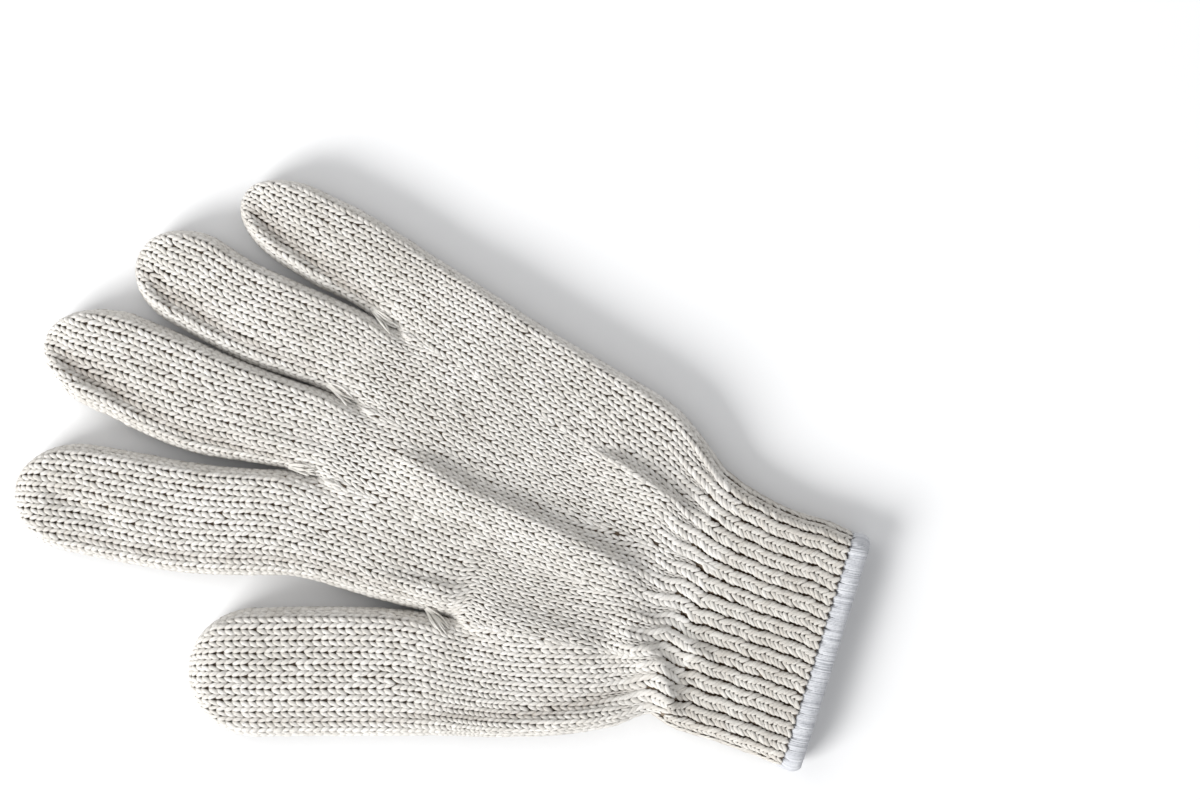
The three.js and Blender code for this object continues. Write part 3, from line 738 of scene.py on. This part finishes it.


# The wall behind the stitches lies 0.5 mm under them and goes round the hollow of every finger.
# Its painted shade is low behind a stitch, deep in a valley, none in the hollow and high at the open rim.
ground_inset = 0.5
stitch_floor = 0.75  # height of the lowest stitches' middle above the table
behind, deep, inside, rim_shade = 0.15, 0.6, 0.0, 0.7
wall_easing, stitch_easing = 16, 120
ground_columns, hollow_columns = 24, 8
tip_gap = 0.8  # least distance from the tip of the wall to its next row
web_rows = 4  # the hollows of two fingers close so many half courses below the crotch
web_steps = {base: palm_steps[web_rows] - base,
             thumb_join: palm_steps[len(upper_steps) - 1 + web_rows] - thumb_join}
ground_sheets = []
for name, digit in digits.items():
    above, below = strip_courses(digit)
    above, below = above[::-1][1::2][::-1], below[::2]
    ends = {}
    for inset, columns, web in ((ground_inset, ground_columns, flat_web), (wall, hollow_columns, web_steps)):
        from_tip = np.concatenate([[inset], above[above > inset + tip_gap]])
        floor = min(inset + stitch_floor, wall)
        outer = inset == ground_inset
        for face in both_faces:
            rows = strip_rows(digit, from_tip, below, inset, web)
            grid = eased(face_grid(rows, face, columns, floor)[0], len(from_tip), wall_easing)
            shade = inside
            if outer:
                grid, valley = ribbed(name, rows, grid, below, face, len(from_tip))
                shade = behind + deep * valley[..., 0]
            ground_sheets.append((grid, (face == "underside") == outer, shade))
            ends[face, outer] = grid[-1]
    for face in both_faces:
        outer, inner = ends[face, True], ends[face, False]
        share = np.linspace(0, len(inner) - 1, len(outer))
        inner = np.stack([np.interp(share, np.arange(len(inner)), line) for line in inner.T], axis=1)
        ground_sheets.append((np.stack([outer, inner]), face == "underside", rim_shade))
hand_wall = cloth_shell(ground_sheets)
make_piece("hand_wall", hand_wall, hand_ground, "knit_hand")

# The stitches of each finger and of the palm below it. Each rib of the cuff begins a whole number
# of courses past the wrist, and the ribs along the edges begin half a course past it.
cuff_course = 1.32
rib_starts = {face: cuff_course * rng.integers(1, 5, ribs_per_face) for face in both_faces}
for starts in rib_starts.values():
    starts[[0, -1]] = cuff_course / 2

# From settling_lead before palm_station to lined_up the wales are led onto the ribs, and within
# ribs_from of the wrist they spread over them or sink between them. Edge wales may pass the edge
# by a slack, counted in wales, that is larger at the tips and in the palm.
settling_lead, lined_up = 0.4, 5.8
settling_length = 0.5
ribs_from = 40
finger_far = 99.0  # stands for the way from a finger to the wrist
edge_slack, tip_slack, palm_slack = 0.46, 0.06, 0.2
full_part, narrow_part = 0.8, 0.2  # of the width of a wale in the round end of a finger
rib_pitch = 3.25  # width that the legs on a rib are made for
least_spread = 0.15  # a wale this narrow has sunk into a valley and shows no stitches
hand_overlap = 0.5  # the stitches of the hand run so far over the start of a rib


def at_middle(leg_values):
    """The values at the middle of each leg."""
    half = leg_values.shape[1] // 2
    return leg_values[:, half:half + 1]


def rib_start(face, ribs):
    """How far past the wrist the rib at the middle of each leg begins."""
    return rib_starts[face][np.clip(at_middle(ribs).astype(int), 0, ribs_per_face - 1)]


def round_the_tip(digit, row, from_tip):
    """Carries the first row of a finger on round its end to the edge of the tip, in two steps."""
    axis = finger_shape(digit)[1]
    chord = row[-1, :2] - row[0, :2]
    aside = 2 * (row[:, :2] - row[0, :2]) @ chord / (chord @ chord) - 1
    width = np.clip(np.abs(aside), 0, 1) * quarter_round(from_tip / digit["end"])
    forward = from_tip - digit["end"] * (1 - np.sqrt(1 - width ** 2))
    carried = np.stack([row, row])
    for step, (ahead, up) in enumerate(((1.0, 0.0), (0.7, 0.7))):
        carried[step, :, :2] += axis * ahead * forward[:, None]
        carried[step, :, 2] = mix(edge_height, row[:, 2], up)
    return carried


def past_wrist(points):
    """How far points lie past the line of the wrist, towards the mouth of the cuff."""
    left, right = seam_point("thumb edge", wrist), seam_point("little edge", wrist)
    share = (points[..., 0] - left[0]) / (right[0] - left[0])
    return mix(left[1], right[1], share) - points[..., 1]


def dropped(name, face, rows, station):
    """Wales that have run into the creases on the left and on the right, row by row. Towards the
    wrist there are two wales for each rib: one on its crest and one in the valley beside it."""
    digit = digits[name]
    begin, end = [2 * ribs_per_face * edge for edge in strip_share(name, face, station)]
    at_wrist = np.searchsorted(station, wrist - 1e-9)
    spare = digit["wales"] - (end - begin)
    phase = (begin[at_wrist] - 0.5) % 1
    if digit["left"] not in seam_closes:
        left = 0.5
    elif digit["right"] not in seam_closes:
        left = spare[at_wrist] - 0.5
    else:
        left = phase + round(spare[at_wrist] / 2 - phase)
    goal_left = left + begin - begin[at_wrist]
    share = smooth((station - palm_station + settling_lead) / (lined_up - palm_station + settling_lead))
    return [mix(drop * rows[key], goal, share) for drop, key, goal in
            zip(digit["drops"], ("gather_left", "gather_right"), (goal_left, spare - goal_left))]


for name, digit in digits.items():
    above, below = strip_courses(digit)
    above = np.concatenate([above[[0, 0]], above])
    below = np.concatenate([below, spare_steps])
    station = np.concatenate([np.zeros(len(above)), below])
    to_wrist = np.concatenate([np.full(len(above), finger_far), before_wrist(below)])
    settling = smooth((station - palm_station + settling_lead) / settling_length)
    in_end = np.concatenate([above < digit["end"], np.zeros(len(below), bool)])
    number = np.arange(len(station))
    wales = digit["wales"]
    columns = 4 * wales
    parts = []
    for face in both_faces:
        rows = strip_rows(digit, above, below, 0, flat_web)
        grid, girth = face_grid(rows, face, columns, stitch_floor)
        grid = eased(grid, len(above), stitch_easing)
        grid, valley = ribbed(name, rows, grid, below, face, len(above))
        grid[:2] = round_the_tip(digit, grid[2], above[0])
        drop_left, drop_right = dropped(name, face, rows, station)
        full_girth = np.interp(digit["end"], above, girth[:len(above)])
        spread = np.where(in_end, full_part * full_girth / girth + narrow_part, 1)
        pitches = girth * spread / (wales - drop_left - drop_right)
        begin, end = [ribs_per_face * edge for edge in strip_share(name, face, station)]

        def place(course, wale):
            row = course * 2

            def here(row_values):
                return np.interp(row, number, row_values)

            left, right = here(drop_left), here(drop_right)
            share = (wale - left) / (wales - left - right)
            share = 0.5 + (share - 0.5) * here(spread)
            slack = (edge_slack + tip_slack * here(in_end) + palm_slack * here(settling)) / wales
            kept = (share > -slack) & (share < 1 + slack)
            kept |= at_middle(kept) & (here(in_end) > 0)
            first, last = here(begin), here(end)
            ribs = mix(first, last, share)
            fade = rib_fade(ribs, here(to_wrist))
            ribs_open, spreading = opened(ribs, fade)
            covering = mix(ribs_open, to_edge(ribs_open), fade)
            share = np.where(here(to_wrist) < ribs_from, (covering - first) / (last - first), share)
            column = np.clip(share, 0.002, 0.998) * columns
            past = past_wrist(between(grid, at_middle(row), at_middle(column)))
            kept &= (past < rib_start(face, ribs) + hand_overlap) & (at_middle(spreading) > least_spread)
            drawn = fade * (spreading > 1)
            pitch = mix(here(pitches) * at_middle(spreading), rib_pitch, at_middle(drawn))
            return row, column, pitch, kept, drawn

        parts.append(yarn_legs(grid, valley, (len(station) - 1) // 2, wales, place, face,
                               digit["fullness"], digit["dots"]))
    make_piece(name + "_stitches", put_together(parts), cream_yarn, "knit_hand")

# Ribbed cuff: the same yarn, drawn together by elastic threads into eighteen plump ribs a side.
# Each rib is one wide wale, and the valleys between them are deep, and dark with painted shade.
cuff_sections = [((-31.8, -79), (42, -75.5)), ((-33.4, -86), (39.7, -83)), ((-32.9, -99.5), (37.7, -96.5)),
                 ((-32.9, -112), (38.2, -108.5)), ((-33.2, -118.95), (37.6, -115.7))]
cuff_wall, cuff_ground_inset, cuff_floor = 2.4, 0.45, 0.6
shallow_from, shallow_share = 3.4, 0.3  # the valleys get shallower just before the overlocked edge
least_height = 0.05
cuff_columns = 8 * ribs_per_face

cuff_left, cuff_right = [smooth_line(side) for side in zip(*cuff_sections)]
fine = np.linspace(0, len(cuff_sections) - 1, 200)
walked = walked_along(cuff_left(fine))
cuff_courses = int(round(walked[-1] / cuff_course))
cuff_where = np.interp(np.linspace(0, walked[-1], 2 * cuff_courses + 1), walked, fine)


def cuff_grid(where, face, columns, floor=0.0):
    """One face of the cuff without its ribs, in rows from the wrist to the mouth."""
    ones = np.ones(len(where))
    rows = dict(left=cuff_left(where), right=cuff_right(where), open_left=ones, open_right=ones,
                cuff_share=ones, tilt=0 * ones, rise=ones * cuff_rise, plump=ones)
    return face_grid(rows, face, columns, floor)[0]


def cuff_face(where, face, depth, floor=0.0, ribs=1.0):
    """One face of the cuff lowered by a depth, with its ribs, and how deep each place lies in a valley, which
    also sets its painted shade.
    """
    grid = cuff_grid(where, face, cuff_columns, floor)
    outward = normals_of(grid) if face == "back" else -normals_of(grid)
    fade = np.interp(where, [0, shallow_from, 4], [1, 1, shallow_share])[:, None]
    valley = rib_drop(np.linspace(0, ribs_per_face, cuff_columns + 1)[None, :]) * fade
    grid = grid - outward * (depth + ribs * rib_depth * valley)[..., None]
    grid[..., 2] = np.maximum(grid[..., 2], least_height)
    return grid, valley


# painted shade: the wall of the cuff is brown, near black in the valleys
rib_ground = cloth_ground("painted_shade_behind_the_ribs", (0.36, 0.30, 0.24), (0.05, 0.03, 0.018))
cuff_sheets = []
# painted shade on the wall of the cuff: some behind the stitches, more in the valleys, none inside and high
# at the rims
cuff_behind, cuff_deep = 0.2, 0.9
for face in both_faces:
    outer, valley = cuff_face(cuff_where[::2], face, cuff_ground_inset, cuff_floor)
    inner, _ = cuff_face(cuff_where[::2], face, cuff_wall, ribs=0.0)
    cuff_sheets.append((outer, face == "underside", cuff_behind + cuff_deep * valley))
    cuff_sheets.append((inner, face == "back", inside))
    for rim in (np.stack([inner[0], outer[0]]), np.stack([outer[-1], inner[-1]])):
        cuff_sheets.append((rim, face == "underside", rim_shade))
make_piece("cuff_wall", cloth_shell(cuff_sheets), rib_ground, "rib_cuff")

# painted shade: the last colour is the dark brown of the painted shade in the ribs
rib_yarn = cotton_yarn("cream_rib_yarn", (0.755, 0.73, 0.68), (0.545, 0.505, 0.45), (0.13, 0.08, 0.05))
parts = []
for face in both_faces:
    grid, valley = cuff_face(cuff_where, face, 0.0, cuff_floor)
    grid[..., 2] = np.maximum(grid[..., 2], cuff_floor)

    def cuff_place(course, wale):
        row = course * 2
        wave = 0.05 * np.sin(course * 0.9 + wale * 0.35) + 0.03 * np.sin(course * 2.3 + wale)
        column = np.clip(to_edge(wale + wave) / ribs_per_face, 0.001, 0.999) * cuff_columns
        kept = past_wrist(between(grid, at_middle(row), at_middle(column))) > rib_start(face, wale)
        return row, column, np.full(row.shape, rib_stitch["pitch"]), kept, np.ones(row.shape)

    parts.append(yarn_legs(grid, valley[..., None], cuff_courses, ribs_per_face, cuff_place, face))
make_piece("cuff_stitches", put_together(parts), rib_yarn, "rib_cuff")

# Overlocked edge: the mouth of the cuff is whipped over with a fine blue-white thread, which
# lies in close turns round the raw edge and makes a firm rounded rim.
overlock_length, overlock_width = 5.1, 3.9
overlock_start, overlock_proud = 0.8, 0.35  # past the end of the ribs, and above them
overlock_turns, turn_radius, turn_steps, turn_slant = 420, 0.27, 14, 0.35
scallop_height, scallop_turns = 1.1, 9.5  # the turns reach unevenly far over the ribs
corner_turns, corner_length, corner_swell = 9.0, 3.0, 0.16  # the thicker corner on the thumb side

overlock_thread, add, finish = node_tree("blue_white_thread")
spot = add("ShaderNodeTexCoord").outputs["Object"]
thread_tone = add("ShaderNodeAttribute", attribute_name="tone").outputs["Fac"]
fuzz = add("ShaderNodeTexNoise", Vector=spot, Scale=1500.0, Detail=3.0, Roughness=0.7)
patches = add("ShaderNodeTexNoise", Vector=spot, Scale=330.0, Detail=4.0, Roughness=0.7)
blotch = add("ShaderNodeMath", thread_tone, 0.5, patches, operation="MULTIPLY_ADD")
grade = add("ShaderNodeMapRange", blotch, 0.4, 1.1)
body = add("ShaderNodeMix", data_type="RGBA", A=(0.42, 0.43, 0.46, 1), B=(0.66, 0.668, 0.69, 1), Factor=grade)
bump = add("ShaderNodeBump", Strength=0.8, Distance=0.0002, Height=fuzz)
finish({"Base Color": body, "Normal": bump, "Roughness": 0.92, "Sheen Weight": 0.15,
        "Specular IOR Level": 0.2})

mouth = np.array([len(cuff_sections) - 1.0])
half_turns = overlock_turns // 2
rim = np.concatenate([cuff_grid(mouth, "back", half_turns)[0],
                      cuff_grid(mouth, "underside", half_turns)[0][1:-1][::-1]])
run = unit(np.roll(rim, -1, axis=0) - np.roll(rim, 1, axis=0))
width_line = np.append(cuff_right(mouth[0]) - cuff_left(mouth[0]), 0)
outward_way = np.array([width_line[1], -width_line[0], 0]) / np.linalg.norm(width_line)
rim_inward = unit(np.cross(-outward_way, run))


def wrapped_ring(angle, swell, scallop):
    """Points round the rim at one angle of its section: 0 is outwards, a right angle the free end."""
    depth = overlock_width / 2 - overlock_proud - overlock_width / 2 * swell * np.cos(angle)
    length = overlock_length / 2 * swell + scallop * (np.sin(angle) < 0)
    forth = overlock_start + overlock_length / 2 + length * np.sin(angle)
    return rim + rim_inward * depth[:, None] + outward_way * forth[:, None]


def closed_part(points, tone):
    """A part whose rows and columns of points both run round and close."""
    number = np.arange(points[..., 0].size).reshape(points.shape[:-1])
    beside = np.roll(number, -1, -1)
    faces = np.stack([number, beside, np.roll(beside, -1, -2), np.roll(number, -1, -2)], axis=-1)
    return dict(points=points.reshape(-1, 3), quads=faces.reshape(-1, 4), tris=no_tris,
                marks={"tone": np.broadcast_to(tone, number.shape).ravel()})


turns = len(rim)
turn_number = np.arange(turns)
left_corner = np.exp(-(np.minimum(turn_number, turns - turn_number) / corner_turns) ** 2)
scallops = (scallop_height * np.abs(np.sin(turn_number * math.pi / scallop_turns))
            + rng.uniform(-0.2, 0.2, turns) + corner_length * left_corner)
swell = 1 + corner_swell * left_corner + rng.normal(0, 0.014, turns)
angles = np.linspace(0, 2 * math.pi, turn_steps, endpoint=False)
core = np.stack([wrapped_ring(angle, swell * 0.92, scallops * 0) for angle in angles])
core[..., 2] = np.maximum(core[..., 2], 1.4 * turn_radius)
path = np.stack([wrapped_ring(angle, swell, scallops) for angle in angles], axis=1)
path = path + run[:, None] * (turn_slant * np.sin(angles))[None, :, None]
path[..., 2] = np.maximum(path[..., 2], 1.1 * turn_radius)
ahead = unit(np.roll(path, -1, axis=1) - np.roll(path, 1, axis=1))
proud = unit(np.cross(run[:, None], ahead))
proud *= np.sign(np.sum(proud * (path - path.mean(axis=1, keepdims=True)), axis=2))[..., None]
beside = np.cross(ahead, proud)
thick = turn_radius * (1 + rng.normal(0, 0.12, turns))[:, None, None, None]
turn_section = np.array([(-1.3, 0), (0, 0.6), (1.3, 0), (0, -0.6)])[None, None, :, :, None]
tube = (path[:, :, None] + beside[:, :, None] * turn_section[..., 0, :] * thick
        + proud[:, :, None] * turn_section[..., 1, :] * thick)
tube[..., 2] = np.maximum(tube[..., 2], 0.01)
darker_turns = np.abs(np.sin(turn_number * 0.19)) < 0.08
tone = np.clip(rng.normal(0.6, 0.22, turns) - 0.5 * darker_turns, 0, 1)
edge_thread = put_together([closed_part(core, 0.0), closed_part(tube, tone[:, None, None])])
make_piece("cuff_edge_thread", edge_thread, overlock_thread, "cuff_overlock")

# Yarn ends: at each crotch the machine leaves a short tuft of cut yarn, which lies in the crease
# below it with its strands a little apart.
tufts = {
    "thumb": ((-25.2, -7.8), (-29.4, -15.8)),
    "index": ((0, 43.6), (0.8, 36.2)),
    "middle": ((26, 41), (23.4, 33.2)),
    "ring": ((50.6, 36.2), (47.4, 28.4)),
}
tuft_strands, strand_radius, strand_steps, strand_sides = 8, 0.33, 9, 8
above_wall = 0.85  # of a strand's middle over the wall behind the stitches
fan_start, fan_growth = 0.7, 1.1  # half width of a tuft at its start, and what it gains
strand_twist, ply_height = 5.0, 0.16  # a strand is two plies twisted together
# painted shade: the last colour is the brown of the painted shade on the strands
pale_yarn = cotton_yarn("pale_yarn_ends", (0.82, 0.795, 0.75), (0.64, 0.61, 0.55), (0.30, 0.24, 0.18))
cloth_faces = hand_wall["quads"].tolist() + hand_wall["tris"].tolist()
cloth_tree = BVHTree.FromPolygons([Vector(point) for point in hand_wall["points"].tolist()], cloth_faces)


def cloth_height(x, y):
    hit = cloth_tree.ray_cast(Vector((x, y, 60)), Vector((0, 0, -1)))[0]
    return hit.z if hit else 0.0


for name, (start, stop) in tufts.items():
    start, stop = np.array(start, float), np.array(stop, float)
    way = (stop - start) / np.linalg.norm(stop - start)
    over = np.array([-way[1], way[0]])
    parts = []
    for strand in range(tuft_strands):
        fan = 2 * strand / (tuft_strands - 1) - 1
        shares = np.linspace(-0.08, 0.96 + rng.uniform(-0.4, 0.10), strand_steps)
        bend = rng.uniform(-0.8, 0.8)
        proud = rng.uniform(0.1, 0.6)
        centres = []
        for share in shares:
            beside = fan * (fan_start + fan_growth * share) + bend * math.sin(share * 4.0)
            spot = mix(start, stop, share) + over * beside
            near = max(cloth_height(*(spot + over * aside)) for aside in (-1.2, -0.4, 0.4, 1.2))
            lift = above_wall + proud * math.sin(math.pi * min(max(share, 0), 1))
            centres.append((spot[0], spot[1], near + lift))
        centres = np.array(centres)
        centres[:, 2] = np.convolve(np.pad(centres[:, 2], 1, mode="edge"), (0.25, 0.5, 0.25), mode="valid")
        ahead = unit(np.gradient(centres, axis=0))
        side_way = unit(np.cross(ahead, (0, 0, 1)))
        up_way = np.cross(side_way, ahead)
        radius = strand_radius * np.sin(np.pi * np.linspace(0.10, 0.93, strand_steps)) ** 0.45
        angle = np.linspace(0, 2 * math.pi, strand_sides, endpoint=False)
        twist = np.linspace(0, strand_twist, strand_steps)[:, None] + rng.uniform(0, 6)
        plies = 1 + ply_height * np.cos(2 * (angle[None, :] + twist))
        ring = rings_round(centres, side_way, up_way, np.cos(angle)[None, :] * plies * radius[:, None],
                           np.sin(angle)[None, :] * plies * radius[:, None])
        points = np.concatenate([centres[:1], ring.reshape(-1, 3), centres[-1:]])
        quads, tris = tube_faces(strand_steps, strand_sides)
        length = np.concatenate([[0], np.repeat(shares * 4, strand_sides), [4]])
        around = with_ends(np.tile(np.arange(strand_sides) / strand_sides, strand_steps), 0.5)
        # painted shade on the underside of each strand, and some at its ends
        sunk = with_ends(np.tile(np.clip(-np.sin(angle), 0, 1) * 0.7, strand_steps), 0.6)
        tone = np.full(len(points), rng.uniform(0.3, 1))
        marks = yarn_marks(sunk, tone, length, around)
        parts.append(dict(points=points, quads=quads, tris=tris, marks=marks))
    make_piece("yarn_ends_" + name, put_together(parts), pale_yarn, "crotch_tuft_" + name)

# Floor and light: a plain pale floor, a large soft lamp low on the thumb side, a small weak one
# beyond the fingertips and weak light from all round.
reach = 3.0
corners = [(-reach, -reach, 0), (reach, -reach, 0), (reach, reach, 0), (-reach, reach, 0)]
floor_mesh = bpy.data.meshes.new("floor")
floor_mesh.from_pydata(corners, [], [(0, 1, 2, 3)])
floor_paint, add, finish = node_tree("pale_floor")
finish({"Base Color": (0.86, 0.86, 0.86, 1), "Roughness": 0.9})
floor_mesh.materials.append(floor_paint)
floor = bpy.data.objects.new("floor", floor_mesh)
bpy.context.scene.collection.objects.link(floor)

world = bpy.data.worlds.new("soft_room")
world.use_nodes = True
room_light = world.node_tree.nodes["Background"].inputs
room_light["Color"].default_value = (0.97, 0.98, 1.0, 1)
room_light["Strength"].default_value = 0.59
bpy.context.scene.world = world


def soft_lamp(name, way, elevation, distance, size, power):
    """A square lamp that faces the middle of the glove."""
    lamp = bpy.data.lights.new(name, "AREA")
    lamp.size = size
    lamp.energy = power
    holder = bpy.data.objects.new(name, lamp)
    rise = math.radians(elevation)
    back = Vector((way[0] * math.cos(rise), way[1] * math.cos(rise), math.sin(rise)))
    holder.location = back * distance
    holder.rotation_euler = back.to_track_quat("Z", "Y").to_euler()
    bpy.context.scene.collection.objects.link(holder)


soft_lamp("key_lamp", (-0.84, 0.54), 33, 5.0, 2.4, 282)
soft_lamp("fill_lamp", (0.45, 0.89), 50, 0.5, 0.35, 0.45)
bpy.context.scene.view_settings.view_transform = "Standard"
